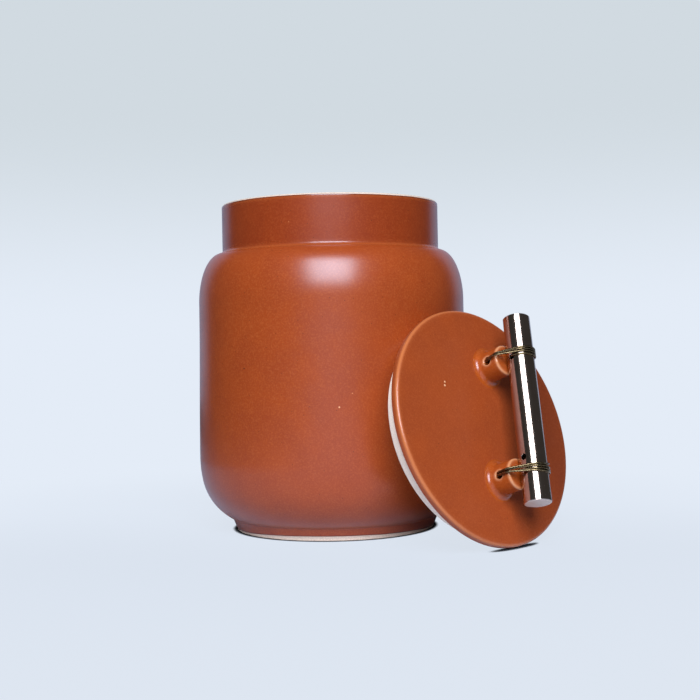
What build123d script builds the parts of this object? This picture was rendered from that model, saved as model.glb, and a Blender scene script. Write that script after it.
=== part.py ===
from build123d import *
from math import acos, atan2, cos, hypot, radians, sin, sqrt
import os

# Sizes in millimetres, angles in degrees. The origin is the centre of the jar's foot on the
# table, +Z is up, and the lid stands on its edge beside the jar, leaning back against +X of it.

# Jar outside
jar_height = 170.6
wall_low_radius = 71.0
wall_high_radius = 70.0
belly_height = 38.4
shoulder_rise = 26.2
crest_land = 1.0
neck_height = 25.6
neck_step_in = 12.8
neck_cove = 0.9
rim_outer_round = 1.0
rim_inner_round = 1.2

# Curve from the belly in to the foot: two arcs, each with its radius and its turn
belly_arc_radius = 58.4
belly_arc_turn = 12.2
base_arc_radius = 29.5
base_arc_turn = 50.4
foot_radius = 53.4
foot_ring_width = 7.0
foot_recess_depth = 2.6
foot_recess_slope = 1.0
foot_cove = 1.0
foot_edge_round = 0.5

# Jar inside
wall_thickness = 5.0
shoulder_thickness = 4.6
neck_thickness = 4.4
floor_arc_turn = 68.0
mouth_round = 3.0

# Lid: a flat disc with a plug ring below it
lid_overhang = 1.4
lid_thickness = 4.0
lid_face_round = 1.7
lid_seat_round = 0.6
plug_clearance = 1.7
plug_depth = 10.9
plug_wall = 3.4
plug_end_round = 1.1
plug_root_round = 1.5

# How the lid stands: the lean of its plane from level, and its place beside the jar
lid_lean = 71.3
lean_gap = 0.3
lid_side_offset = 5.1

# Handle: two posts, a round bar across them and a wire lashing on each. Along is the bar's
# line and across is square to it, on the lid's face. The bar lies a little off the posts' middle.
handle_turn = -14.5
posts_shift_along = -1.8
posts_shift_across = 4.8
bar_shift_along = -2.7
bar_shift_across = 3.4
post_spacing = 57.2
post_radius = 7.6
post_height = 12.5
post_flare = 2.5
post_lip = 0.3
post_rim_round = 1.0
saddle_depth = 0.5
seat_gap = 0.05
post_hole_radius = 1.9
post_hole_height = 6.4
post_hole_round = 0.5
bar_radius = 6.5
bar_length = 93.2
bar_chamfer = 0.4
bar_hole_radius = 1.35
bar_hole_spacing = 50.4

# Lashing wire: four turns, side by side on the bar and two by two in the post's hole
wire_radius = 0.425
wire_pitch = 1.35
wire_turns = 4
upper_turns_out = 1.4
lower_turns_out = 0.2
rim_out_share = 0.7
wire_to_bar = 0.1
wire_to_post = 0.15
wire_bend = 1.1
wire_fan_bend = 4.0
wire_rim_rise = 0.4
wire_arc_ease = 0.15
tail_stand = 0.9
tail_depth = 3.0
start_inset = 3.0

# How a wire's gap to itself is measured: places along it, and how far apart along it two count
gap_samples = 900
gap_apart = 3.4

# How far round the plug's end, either way from level, the lid may meet the jar, in whole degrees
touch_angle = 60

# One overrun for every cut that runs out of a piece
overrun = 2.0

neck_foot_height = jar_height - neck_height
shoulder_height = neck_foot_height - shoulder_rise
neck_radius = wall_high_radius - neck_step_in
neck_inner_radius = neck_radius - neck_thickness
lid_radius = neck_radius + lid_overhang
plug_radius = neck_inner_radius - plug_clearance
plug_end = lid_thickness + plug_depth
bar_axis_height = post_height - saddle_depth + seat_gap + bar_radius


def belly_arcs(inset):
    """The two arcs from the belly down to the foot, moved in from the outer skin by inset."""
    turn = floor_arc_turn if inset else base_arc_turn
    start = (wall_low_radius - inset, belly_height)
    upper = JernArc(start=start, tangent=(0, -1), radius=belly_arc_radius - inset, arc_size=-belly_arc_turn)
    lower = JernArc(start=upper @ 1, tangent=upper % 1, radius=base_arc_radius - inset, arc_size=-turn)
    return upper, lower


def wall_curve(inset):
    """The wall from the belly up to the shoulder, a hair slimmer at its top than at its foot.

    Handles a third of the way along keep the height even along the curve.
    """
    third = (shoulder_height - belly_height) / 3
    low = wall_low_radius - inset
    high = wall_high_radius - inset
    return Bezier(
        (low, belly_height),
        (low, belly_height + third),
        (high, shoulder_height - third),
        (high, shoulder_height),
    )


def outer_radius_at(height):
    """Outer radius of the jar at a height between the belly and the neck's foot."""
    if height > shoulder_height:
        crest_radius = neck_radius + crest_land
        rise_share = (height - shoulder_height) / shoulder_rise
        return crest_radius + (wall_high_radius - crest_radius) * sqrt(max(0, 1 - rise_share**2))
    share = (height - belly_height) / (shoulder_height - belly_height)
    return wall_high_radius + (wall_low_radius - wall_high_radius) * (1 - share) ** 2 * (1 + 2 * share)


def shoulder_curve(centre_radius, side_radius, rise):
    """A quarter of an ellipse from the wall in to the neck."""
    return EllipticalCenterArc(
        center=(centre_radius, shoulder_height),
        x_radius=side_radius - centre_radius,
        y_radius=rise,
        start_angle=0,
        arc_size=90,
    )


def rounded(sketch, spots):
    """Rounds the corners of a profile: spots holds a place and a radius for each corner."""
    for place, radius in spots:
        corner = sketch.vertices().sort_by_distance((*place, 0))[0]
        sketch = fillet(corner, radius)
    return sketch


def turned(sketch):
    """Turns a profile, drawn as radius and height, round the upright axis."""
    return revolve(Plane.XZ * sketch, axis=Axis.Z)


def make_jar():
    belly_out, base_out = belly_arcs(0)
    belly_in, base_in = belly_arcs(wall_thickness)
    crest_radius = neck_radius + crest_land
    shoulder_out = shoulder_curve(crest_radius, wall_high_radius, shoulder_rise)
    shoulder_in = shoulder_curve(
        neck_inner_radius, wall_high_radius - wall_thickness, shoulder_rise - shoulder_thickness
    )
    foot_top = base_out @ 1
    floor_edge = base_in @ 1
    ring_inner = foot_radius - foot_ring_width
    outside = belly_out + base_out + wall_curve(0) + shoulder_out
    inside = belly_in + base_in + wall_curve(wall_thickness) + shoulder_in
    foot = Polyline(
        (foot_top.X, foot_top.Y),
        (foot_radius, 0),
        (ring_inner, 0),
        (ring_inner - foot_recess_slope, foot_recess_depth),
        (0, foot_recess_depth),
        (0, floor_edge.Y),
        (floor_edge.X, floor_edge.Y),
    )
    neck = Polyline(
        (crest_radius, neck_foot_height),
        (neck_radius, neck_foot_height),
        (neck_radius, jar_height),
        (neck_inner_radius, jar_height),
        (neck_inner_radius, neck_foot_height - shoulder_thickness),
    )
    profile = make_face(Curve() + [*outside.edges(), *inside.edges(), *foot.edges(), *neck.edges()])
    corners = [
        ((foot_top.X, foot_top.Y), foot_cove),
        ((foot_radius, 0), foot_edge_round),
        ((ring_inner, 0), foot_edge_round),
        ((neck_radius, neck_foot_height), neck_cove),
        ((neck_radius, jar_height), rim_outer_round),
        ((neck_inner_radius, jar_height), rim_inner_round),
        ((neck_inner_radius, neck_foot_height - shoulder_thickness), mouth_round),
    ]
    return turned(rounded(profile, corners))


def make_lid():
    """The lid with its upper face at height zero."""
    ring_inner = plug_radius - plug_wall
    profile = make_face(
        Polyline(
            (0, 0),
            (lid_radius, 0),
            (lid_radius, -lid_thickness),
            (plug_radius, -lid_thickness),
            (plug_radius, -plug_end),
            (ring_inner, -plug_end),
            (ring_inner, -lid_thickness),
            (0, -lid_thickness),
            close=True,
        )
    )
    corners = [
        ((lid_radius, 0), lid_face_round),
        ((lid_radius, -lid_thickness), lid_seat_round),
        ((plug_radius, -plug_end), plug_end_round),
        ((ring_inner, -plug_end), plug_end_round),
        ((ring_inner, -lid_thickness), plug_root_round),
    ]
    return turned(rounded(profile, corners))


def make_post(side):
    """A stud with a flared foot, a hole across the bar's line and a saddle for the bar."""
    profile = make_face(
        Polyline(
            (0, 0),
            (post_radius + post_flare, 0),
            (post_radius + post_flare, post_lip),
            (post_radius, post_lip),
            (post_radius, post_height),
            (0, post_height),
            close=True,
        )
    )
    corners = [((post_radius, post_lip), post_flare), ((post_radius, post_height), post_rim_round)]
    stud = turned(rounded(profile, corners))
    reach = post_radius + overrun
    hole = Pos(0, 0, post_hole_height) * Rot(90, 0, 0) * Cylinder(post_hole_radius, 2 * reach)
    stud = stud - hole
    lips = [edge for edge in stud.edges() if abs(edge.center().Z - post_hole_height) < post_hole_radius]
    lips = [edge for edge in lips if edge.geom_type != GeomType.LINE]
    lips = [edge for edge in lips if abs(edge.center().Y) > post_radius / 2]
    stud = fillet(lips, post_hole_round)
    saddle = Rot(0, 90, 0) * Cylinder(bar_radius + seat_gap, 2 * reach)
    saddle = Pos(0, bar_shift_across, bar_axis_height) * saddle
    return Pos(side * post_spacing / 2, 0, 0) * (stud - saddle)


def make_bar():
    """The bar across the posts, with a small hole through it just inside each lashing."""
    bar = Rot(0, 90, 0) * Cylinder(bar_radius, bar_length)
    ends = bar.edges().filter_by(GeomType.CIRCLE)
    bar = chamfer(ends, bar_chamfer)
    for side in (-1, 1):
        drill = Rot(90, 0, 0) * Cylinder(bar_hole_radius, 2 * (bar_radius + overrun))
        bar = bar - Pos(side * bar_hole_spacing / 2, 0, 0) * drill
    return Pos(bar_shift_along, bar_shift_across, bar_axis_height) * bar


def wrap_corner(hand, leg, leg_height):
    """Where the corner above the bar lies, for a leg on one hand that touches the wrap."""
    wrap_radius = bar_radius + wire_radius + wire_to_bar
    leg_out = leg - hand * bar_shift_across
    drop = bar_axis_height - leg_height
    lean = acos(wrap_radius / hypot(leg_out, drop)) - atan2(drop, leg_out)
    return bar_shift_across + hand * wrap_radius * (1 - sin(lean)) / cos(lean)


def lashing_route(side, hand):
    """Corners and bend radii of one lashing, in the handle's frame.

    side is the end of the bar, hand the side of the bar where the first leg rises.
    """
    wrap_radius = bar_radius + wire_radius + wire_to_bar
    top = bar_axis_height + wrap_radius
    near = post_radius + wire_radius + wire_to_post
    far = near + wire_pitch
    rim = post_height + wire_rim_rise
    half = wire_pitch / 2
    # Where each strand runs in the post's hole: outward or inward, low or high
    strands = [(1, -1), (1, 1), (-1, 1), (-1, -1)]
    middle = side * post_spacing / 2
    turns_out = upper_turns_out if side < 0 else lower_turns_out
    arc_radius = wrap_radius - wire_arc_ease

    def hole_place(turn):
        outward, level = strands[turn]
        leg = near if level > 0 else far
        bend = wire_bend if level > 0 else wire_bend + wire_pitch
        return middle + side * outward * half, leg, post_hole_height + level * half, bend

    points = []
    bends = []
    start_x, _, start_z, _ = hole_place(0)
    points.append((start_x, -hand * (post_radius - start_inset), start_z))
    for turn in range(wire_turns):
        x, leg, z, bend = hole_place(turn)
        spread = ((wire_turns - 1) / 2 - turn) * wire_pitch
        rim_x = middle + side * (rim_out_share * turns_out + spread)
        bar_x = middle + side * (turns_out + spread)
        points += [(x, hand * leg, z), (rim_x, hand * leg, rim)]
        points += [(bar_x, wrap_corner(hand, leg, rim), top)]
        bends += [bend, wire_fan_bend, arc_radius]
        if turn + 1 < wire_turns:
            next_x, next_leg, next_z, next_bend = hole_place(turn + 1)
            points += [(bar_x, wrap_corner(-hand, next_leg, rim), top)]
            points += [(rim_x, -hand * next_leg, rim), (next_x, -hand * next_leg, next_z)]
            bends += [arc_radius, wire_fan_bend, next_bend]
    tail_x = bar_shift_along + side * bar_hole_spacing / 2
    tail_leg = wrap_radius + tail_stand - hand * bar_shift_across
    tail_end = bar_radius - tail_depth - hand * bar_shift_across
    points += [(bar_x, wrap_corner(-hand, tail_leg, bar_axis_height), top)]
    points += [(tail_x, -hand * tail_leg, bar_axis_height)]
    points += [(tail_x, -hand * tail_end, bar_axis_height)]
    bends += [arc_radius, wire_bend]
    return points, bends


def least_gap(path):
    """Least distance between the wire and itself, at places more than gap_apart along it."""
    places = [path @ (index / gap_samples) for index in range(gap_samples + 1)]
    skip = int(gap_apart * gap_samples / path.length) + 1
    least = path.length
    for index, place in enumerate(places):
        for other in places[index + skip:]:
            least = min(least, (place - other).length)
    return least - 2 * wire_radius


def make_lashing(side, hand):
    """One unbroken wire, four times through the post's hole and over the bar."""
    points, bends = lashing_route(side, hand)
    path = FilletPolyline(*points, radius=bends)
    section = Plane(origin=path @ 0, z_dir=path % 0) * Circle(wire_radius)
    wire = sweep(section, path=path)
    gap = least_gap(path)
    swept = path.length * Circle(wire_radius).area
    print(f"lashing {side:+d}: length {path.length:.1f}, least gap to itself {gap:.3f}")
    print(f"lashing {side:+d}: volume {wire.volume:.2f}, section times length {swept:.2f}")
    return wire


def lid_place():
    """Where the lid's upper face centre stands: lower edge on the table, plug against the jar."""
    tilt = radians(lid_lean)
    edge = lid_radius - lid_seat_round
    seat = lid_thickness - lid_seat_round
    height = edge * sin(tilt) + seat * cos(tilt) + lid_seat_round
    rim = plug_radius - plug_end_round
    end = plug_end - plug_end_round
    touch_height = height + rim * sin(tilt) - end * cos(tilt)
    reach = rim * cos(tilt) + end * sin(tilt) + lean_gap
    # Every place round the plug's end, from right below it to right above it, has to clear the jar
    out = 0
    for angle in range(-touch_angle, touch_angle + 1):
        rise = plug_end_round * sin(radians(angle))
        out = max(out, outer_radius_at(touch_height + rise) + reach + plug_end_round * cos(radians(angle)))
    return Location((out, lid_side_offset, height), (0, lid_lean, 0))


def main():
    on_lid = lid_place()
    on_handle = on_lid * Rot(0, 0, handle_turn) * Pos(posts_shift_along, posts_shift_across, 0)
    pieces = {
        "jar_body": make_jar(),
        "lid": on_lid * make_lid(),
        "handle_post_upper": on_handle * make_post(-1),
        "handle_post_lower": on_handle * make_post(1),
        "handle_bar": on_handle * make_bar(),
        "lashing_wire_upper": on_handle * make_lashing(-1, 1),
        "lashing_wire_lower": on_handle * make_lashing(1, -1),
    }
    os.makedirs("parts", exist_ok=True)
    for name, piece in pieces.items():
        export_step(piece, f"parts/{name}.step")


main()
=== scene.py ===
"""A glazed stoneware storage jar, its lid leaning beside it, and the lid's bar handle lashed to two studs."""

import math
import random

import bpy
import numpy as np
from mathutils import Matrix, Vector


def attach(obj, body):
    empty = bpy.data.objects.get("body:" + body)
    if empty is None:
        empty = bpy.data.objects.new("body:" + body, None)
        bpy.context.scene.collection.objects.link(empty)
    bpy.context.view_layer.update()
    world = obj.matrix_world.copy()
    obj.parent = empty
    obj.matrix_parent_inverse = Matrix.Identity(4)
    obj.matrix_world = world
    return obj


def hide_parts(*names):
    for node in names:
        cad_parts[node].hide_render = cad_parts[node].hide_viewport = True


# The pieces' sizes are in millimetres and degrees, as in the solids, and their meshes are scaled to metres.
# The stage's sizes are in metres
MM = 0.001

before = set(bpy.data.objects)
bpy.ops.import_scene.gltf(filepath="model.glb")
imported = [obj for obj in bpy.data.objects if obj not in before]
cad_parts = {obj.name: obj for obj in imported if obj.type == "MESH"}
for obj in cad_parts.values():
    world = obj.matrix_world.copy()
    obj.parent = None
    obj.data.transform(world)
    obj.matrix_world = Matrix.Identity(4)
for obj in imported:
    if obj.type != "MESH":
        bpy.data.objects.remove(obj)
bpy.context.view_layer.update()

# Jar outside
JAR_HEIGHT = 170.6
WALL_LOW, WALL_HIGH = 71.0, 70.0
BELLY_Z, SHOULDER_Z = 38.4, 118.8
SHOULDER_RISE = 26.2
NECK_Z = SHOULDER_Z + SHOULDER_RISE
CREST_LAND = 1.0
NECK_RADIUS = 57.2
NECK_COVE = 1.8
RIM_OUTER, RIM_INNER = 1.4, 1.2
BELLY_ARC, BELLY_TURN = 58.4, 12.2
BASE_ARC, BASE_TURN = 29.5, 50.4
FLOOR_TURN = 68.0
FOOT_RADIUS, FOOT_RING, FOOT_RECESS = 53.4, 7.0, 2.6
FOOT_COVE, FOOT_EDGE = 1.6, 0.5
FOOT_TAPER, RECESS_LEAN = 1.4, 1.0

# Jar inside
WALL, SHOULDER_WALL, NECK_WALL = 5.0, 4.6, 4.4
MOUTH_ROUND = 3.0

# A thrown wall is never a perfect circle: half of how far inside one it lies, the height above which it lies
# so far, and a seed
LOOSENESS, LOOSE_ABOVE, LOOSE_SEED = 0.05, 30, 15

# Lid, with its upper face at height zero
LID_RADIUS = 58.6
LID_THICKNESS = 4.0
LID_FACE_ROUND, LID_SEAT_ROUND = 1.7, 0.6
PLUG_RADIUS, PLUG_WALL, PLUG_DEPTH = 51.1, 3.4, 10.9
PLUG_END_ROUND, PLUG_ROOT_ROUND = 1.3, 1.5
LID_PLACE = (100.647, 5.1, 56.628)
LID_LEAN = 71.3

# Handle
HANDLE_TURN = -14.5
POSTS_ALONG, POSTS_ACROSS = -1.8, 4.8
BAR_ALONG, BAR_ACROSS = -2.7, 3.4
POST_SPACING, POST_RADIUS, POST_HEIGHT = 57.2, 7.6, 12.5
POST_FLARE, POST_RIM_ROUND = 2.8, 1.0
POST_SINK, POST_SKIRT, POST_SKIRT_DROP = 0.8, 1.2, 0.05
HOLE_RADIUS, HOLE_HEIGHT, HOLE_ROUND, HOLE_SET_IN = 1.9, 6.4, 0.7, 0.1
BAR_RADIUS, BAR_LENGTH, BAR_CHAMFER = 6.5, 93.18, 0.42
BAR_HEIGHT = 18.55
BAR_HOLE_RADIUS, BAR_HOLE_SPACING = 1.35, 50.4
BAR_HOLE_WIDER, BAR_HOLE_CHAMFER, DRILL_FLARE = 0.22, 0.35, 0.8
BAR_SHARP_ANGLE = 32
SADDLE_RADIUS = 6.55

# Lashing wire: its section, the pitch of its strands in a stud's hole, and its clearances
WIRE_RADIUS = 0.43
WIRE_SIDES = 16
WIRE_PITCH = 1.08
WIRE_TURNS = 4
WIRE_TO_BAR = 0.02
WIRE_TO_POST = 0.04
WIRE_WRAP = BAR_RADIUS + WIRE_RADIUS + WIRE_TO_BAR
# Bends in a stud's hole, at its rim and before the tail, and by how much a bend round the bar is tighter than
# the wrap
HOLE_BEND, RIM_BEND, TAIL_BEND, WRAP_SLACK = 1.1, 4.0, 1.0, 0.03
# Height of the bends over the stud's rim, depth of both ends in stud and bar, and how far the tail lies past
# the wrap
WIRE_OVER_RIM, WIRE_END_IN, TAIL_OUT = 0.4, 3.0, 0.7
# At the rim: the share of the turns' shift along the bar, and the near and the far strands' spread in pitches
RIM_SHIFT, NEAR_SPREAD, FAR_SPREAD = 0.7, 0.5, 0.72
# The hand's unevenness along the bar, and its seed
WIRE_SHAKE, WIRE_SEED = 0.05, 7

# Where the glaze ends: below the rim's top outside, farther down inside, above the foot, on the lid's seat
BARE_RIM, BARE_MOUTH = 0.85, 1.2
BARE_FOOT = 1.6
LID_GLAZE_OVER = 0.9
# How far each glaze line wanders, in a coarse and a fine wave, with its seed; the foot's also leans
FOOT_WANDER = (0.22, 0.1, 11)
RIM_WANDER = (0.16, 0.06, 13)
LID_WANDER = (0.18, 0.08, 21)
FOOT_TILT = 0.9
# Bare clay lies deeper than the glaze by its thickness, over a short step. Level faces sink less, and the
# foot keeps its width up to a small height
JAR_BARE_INSET, LID_BARE_INSET = 0.22, 0.15
GLAZE_STEP = 0.3
LEVEL_SHARE, FOOT_FACE = 0.3, 0.3
# Limits of the distance to the glaze line, which is kept on the vertices
JAR_GLAZE_LIMITS, LID_GLAZE_LIMITS = (-4, 12), (-6, 12)
# Where the lid's rim starts outside its plug ring
LID_RIM_FROM = PLUG_RADIUS + 1
# Where the glaze is thin: the width of the band at each edge, its middle on the lid in from the side and down
# from the face, its middle out from a stud's hole, and how strong the weaker bands are
# On a stud's rim and round its hole the pale band is partly the glaze breaking and partly painted highlight
RIM_THIN, CREST_THIN, LID_THIN, POST_THIN_AND_GLINT, HOLE_THIN = 1.5, 1.6, 0.95, 0.95, 0.7
LID_THIN_IN, LID_THIN_DOWN, HOLE_THIN_OUT = 0.3, 0.6, 0.3
CREST_THIN_SHARE, HOLE_THIN_AND_GLINT_SHARE = 0.55, 0.9

# Fineness of the meshes: points round each piece, and the distance between points along their lines
JAR_SEGMENTS, LID_SEGMENTS, POST_SEGMENTS, BAR_SEGMENTS = 288, 256, 128, 192
BORE_SEGMENTS, SADDLE_SEGMENTS, DRILL_SEGMENTS = 64, 256, 48
ARC_STEP, SHOULDER_STEP, LINE_STEP = 1.3, 0.9, 1.6
POST_STEP, FLARE_STEP, HOLE_STEP, BAR_STEP, WIRE_STEP = 0.6, 0.25, 0.1, 1.2, 0.22
WALL_POINTS, ROUND_POINTS, ARC_LEAST, BEND_LEAST = 60, 9, 5, 4
POST_VOXEL, POST_SMOOTHING, SMOOTHING_SHARE = 0.2, 3, 0.5
# How far cutting solids reach past what they cut
CUT_PAST = 1.0
# A radius that counts as none, a turn (in radians) and a step too small for a bend or a point of a wire's
# path, and the share of a short straight that its two bends fill
ON_AXIS, LEAST_TURN, LEAST_STEP, FIT_SHARE = 1e-6, 1e-4, 1e-5, 0.999

# The side that the camera sees, from the front round towards +X
VIEW_TURN = 46.5

LID_MATRIX = Matrix.Translation(LID_PLACE) @ Matrix.Rotation(math.radians(LID_LEAN), 4, "Y")
HANDLE_MATRIX = (
    LID_MATRIX
    @ Matrix.Rotation(math.radians(HANDLE_TURN), 4, "Z")
    @ Matrix.Translation((POSTS_ALONG, POSTS_ACROSS, 0))
)
BAR_MATRIX = HANDLE_MATRIX @ Matrix.Translation((BAR_ALONG, BAR_ACROSS, BAR_HEIGHT))


# Profiles: lines of points, each a radius and a height


def ellipse(centre, across, up, start, turn, step=ARC_STEP):
    """Points along an arc of an ellipse; angles in degrees, anticlockwise."""
    count = max(ARC_LEAST, int(abs(math.radians(turn)) * (across + up) / 2 / step) + 2)
    angles = np.radians(np.linspace(start, start + turn, count))
    return [(centre[0] + across * math.cos(a), centre[1] + up * math.sin(a)) for a in angles]


def arc(centre, radius, start, turn, step=ARC_STEP):
    """Points along an arc of a circle; angles in degrees, anticlockwise."""
    return ellipse(centre, radius, radius, start, turn, step)


def wall(inset):
    """The wall from the belly up to the shoulder, a hair slimmer at its top."""
    share = np.linspace(0, 1, WALL_POINTS)
    radius = WALL_HIGH + (WALL_LOW - WALL_HIGH) * (1 - share) ** 2 * (1 + 2 * share) - inset
    return list(zip(radius, BELLY_Z + (SHOULDER_Z - BELLY_Z) * share))


def belly(inset, base_turn):
    """The two arcs below the belly, from the foot upward."""
    centre = (WALL_LOW - BELLY_ARC, BELLY_Z)
    upper = arc(centre, BELLY_ARC - inset, 0, -BELLY_TURN)
    turn = math.radians(BELLY_TURN)
    reach = BELLY_ARC - BASE_ARC
    low_centre = (centre[0] + reach * math.cos(turn), centre[1] - reach * math.sin(turn))
    lower = arc(low_centre, BASE_ARC - inset, -BELLY_TURN, -base_turn)
    return lower[::-1] + upper[::-1][1:]


def walk(line, distance):
    """The place that lies a distance along a line, and how many points it passes."""
    passed = 0
    while True:
        step = math.dist(line[passed], line[passed + 1])
        if step >= distance:
            share = distance / step
            place = [p + (q - p) * share for p, q in zip(line[passed], line[passed + 1])]
            heading = np.subtract(line[passed + 1], line[passed]) / step
            return np.array(place), heading, passed
        distance -= step
        passed += 1


def soften(line, corner, radius, count=ROUND_POINTS):
    """Rounds the corner of a line that lies nearest to a place."""
    index = min(range(len(line)), key=lambda i: math.dist(line[i], corner))
    before = np.subtract(line[index], line[index - 1])
    after = np.subtract(line[index + 1], line[index])
    cosine = before @ after / (np.linalg.norm(before) * np.linalg.norm(after))
    turn = math.acos(max(-1, min(1, cosine)))
    cut = radius * math.tan(turn / 2)
    start, back, passed_before = walk(line[index::-1], cut)
    end, onward, passed_after = walk(line[index:], cut)
    handle = radius * math.tan(turn / 4) * 4 / 3
    a, b, c, d = start, start - back * handle, end - onward * handle, end
    curve = []
    for t in np.linspace(0, 1, count):
        u = 1 - t
        curve.append(tuple(a * u ** 3 + 3 * b * t * u ** 2 + 3 * c * t * t * u + d * t ** 3))
    return line[: index - passed_before] + curve + line[index + passed_after + 1:]


def filled(line, step):
    """The same line with points added along its long straight runs."""
    out = [line[0]]
    for p, q in zip(line, line[1:]):
        count = max(1, math.ceil(math.dist(p, q) / step))
        out += [tuple(np.add(p, np.subtract(q, p) * (k + 1) / count)) for k in range(count)]
    return out


def jar_line():
    """The jar's whole skin, from the middle of its underside over the rim to the middle of its floor."""
    crest = NECK_RADIUS + CREST_LAND
    inner = NECK_RADIUS - NECK_WALL
    ring = FOOT_RADIUS - FOOT_RING
    outside = belly(0, BASE_TURN) + wall(0)[1:]
    outside += ellipse((crest, SHOULDER_Z), WALL_HIGH - crest, SHOULDER_RISE, 0, 90, SHOULDER_STEP)[1:]
    inside = belly(WALL, FLOOR_TURN) + wall(WALL)[1:]
    inside += ellipse((inner, SHOULDER_Z), WALL_HIGH - WALL - inner, SHOULDER_RISE - SHOULDER_WALL, 0, 90)[1:]
    foot_end = (FOOT_RADIUS - FOOT_TAPER, 0)
    line = [(0, FOOT_RECESS), (ring - RECESS_LEAN, FOOT_RECESS), (ring, 0), foot_end]
    line += outside
    line += [(NECK_RADIUS, NECK_Z), (NECK_RADIUS, JAR_HEIGHT), (inner, JAR_HEIGHT)]
    line += inside[::-1]
    line += [(0, inside[0][1])]
    line = soften(line, foot_end, FOOT_EDGE)
    line = soften(line, (ring, 0), FOOT_EDGE)
    line = soften(line, outside[0], FOOT_COVE)
    line = soften(line, (NECK_RADIUS, NECK_Z), NECK_COVE)
    line = soften(line, (NECK_RADIUS, JAR_HEIGHT), RIM_OUTER)
    line = soften(line, (inner, JAR_HEIGHT), RIM_INNER)
    line = soften(line, inside[-1], MOUTH_ROUND)
    return filled(line, LINE_STEP)


def lid_line():
    """The lid's whole skin, from its face's middle round its edge and plug ring to its underside's middle."""
    ring = PLUG_RADIUS - PLUG_WALL
    end = -LID_THICKNESS - PLUG_DEPTH
    line = [(0, 0), (LID_RADIUS, 0), (LID_RADIUS, -LID_THICKNESS), (PLUG_RADIUS, -LID_THICKNESS)]
    line += [(PLUG_RADIUS, end), (ring, end), (ring, -LID_THICKNESS), (0, -LID_THICKNESS)]
    line = soften(line, (LID_RADIUS, 0), LID_FACE_ROUND)
    line = soften(line, (LID_RADIUS, -LID_THICKNESS), LID_SEAT_ROUND)
    line = soften(line, (PLUG_RADIUS, end), PLUG_END_ROUND)
    line = soften(line, (ring, end), PLUG_END_ROUND)
    line = soften(line, (ring, -LID_THICKNESS), PLUG_ROOT_ROUND)
    return filled(line, LINE_STEP)


def both_ways(end):
    """A whole line from its upper half, mirrored about height zero."""
    return [(radius, -height) for radius, height in end[::-1]] + end


def along(line):
    """How far along the line each point lies."""
    steps = [math.dist(p, q) for p, q in zip(line, line[1:])]
    return np.concatenate([[0], np.cumsum(steps)])


def place_on(line, place):
    """How far along the line the point nearest to a place lies."""
    index = min(range(len(line)), key=lambda i: math.dist(line[i], place))
    return along(line)[index]


def normals_of(line):
    """Outward normals of a line that runs anticlockwise round its solid."""
    points = np.array(line)
    heading = np.gradient(points, axis=0)
    heading /= np.maximum(np.linalg.norm(heading, axis=1), 1e-9)[:, None]
    return np.stack([heading[:, 1], -heading[:, 0]], axis=1)


# Meshes


def wave(angles, seed, turns=(2, 3, 5, 8, 13, 21)):
    """A smooth closed random wave round a circle, between about -1 and 1."""
    weakest, full_turn, peak = 0.4, 6.28, 1.6
    chance = random.Random(seed)
    total = np.zeros_like(angles)
    for turn in turns:
        strength, start = chance.uniform(weakest, 1), chance.uniform(0, full_turn)
        total += strength * np.sin(turn * angles + start) / turn ** 0.5
    return total / peak


def wander(angles, coarse, fine, seed):
    """How far a glaze line wanders from its even place, round its piece."""
    return coarse * wave(angles, seed) + fine * wave(angles, seed + 1, (34, 55, 89))


def bare_share(past_edge):
    """How bare the clay is at a distance past the glaze line: 0 on glaze and 1 on clay."""
    return np.clip(0.5 - past_edge / GLAZE_STEP, 0, 1)


def fade(radii, heights, radius, height, width):
    """A share that is 1 at an edge's place on a profile and fades over a width."""
    return np.exp(-(np.hypot(radii - radius, heights - height) / width) ** 2)


def round_angles(segments):
    """The angles of the points round a turned piece."""
    return np.linspace(0, 2 * math.pi, segments, endpoint=False)


def set_fields(mesh, fields):
    """Gives a mesh one number for each vertex and field."""
    for field, values in fields.items():
        numbers = mesh.attributes.new(field, "FLOAT", "POINT")
        numbers.data.foreach_set("value", np.asarray(values, np.float32))


def make_piece(name, vertices, faces, matrix, fields=None):
    """A smooth mesh object whose place is in its vertices."""
    mesh = bpy.data.meshes.new(name)
    mesh.from_pydata([tuple(v) for v in vertices], [], faces)
    mesh.transform(Matrix.Scale(MM, 4) @ matrix)
    set_fields(mesh, fields or {})
    mesh.shade_smooth()
    mesh.validate()
    piece = bpy.data.objects.new(name, mesh)
    bpy.context.scene.collection.objects.link(piece)
    return piece


def turned_mesh(line, segments, shape=None):
    """Vertices, faces and rings of a line turned round the upright axis; a point on it is one vertex."""
    angles = round_angles(segments)
    vertices, rings = [], []
    for index, (radius, height) in enumerate(line):
        first = len(vertices)
        if radius < ON_AXIS:
            vertices.append((0, 0, height))
            rings.append([first] * segments)
            continue
        radii = np.full(segments, radius)
        heights = np.full(segments, height)
        if shape is not None:
            radii, heights = shape(index, radii, heights)
        vertices += list(zip(radii * np.cos(angles), radii * np.sin(angles), heights))
        rings.append(list(range(first, first + segments)))
    faces = []
    for low, high in zip(rings, rings[1:]):
        for k in range(segments):
            after = (k + 1) % segments
            face = list(dict.fromkeys([low[k], low[after], high[after], high[k]]))
            if len(face) > 2:
                faces.append(face)
    return vertices, faces, rings


def spread(rings, count, values):
    """One number for each vertex, from the values of each ring's points."""
    out = np.zeros(count)
    for ring, value in zip(rings, values):
        out[ring] = value
    return out


def skin_fields(rings, count, glaze, waved, thin):
    """A turned skin's fields: the distance past its wandering glaze line, and where its glaze is thin."""
    past_edge = [waved(index) if len(set(ring)) > 1 else glaze[index] for index, ring in enumerate(rings)]
    return {"glaze": spread(rings, count, past_edge), "edge": spread(rings, count, np.clip(thin, 0, 1))}


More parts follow.
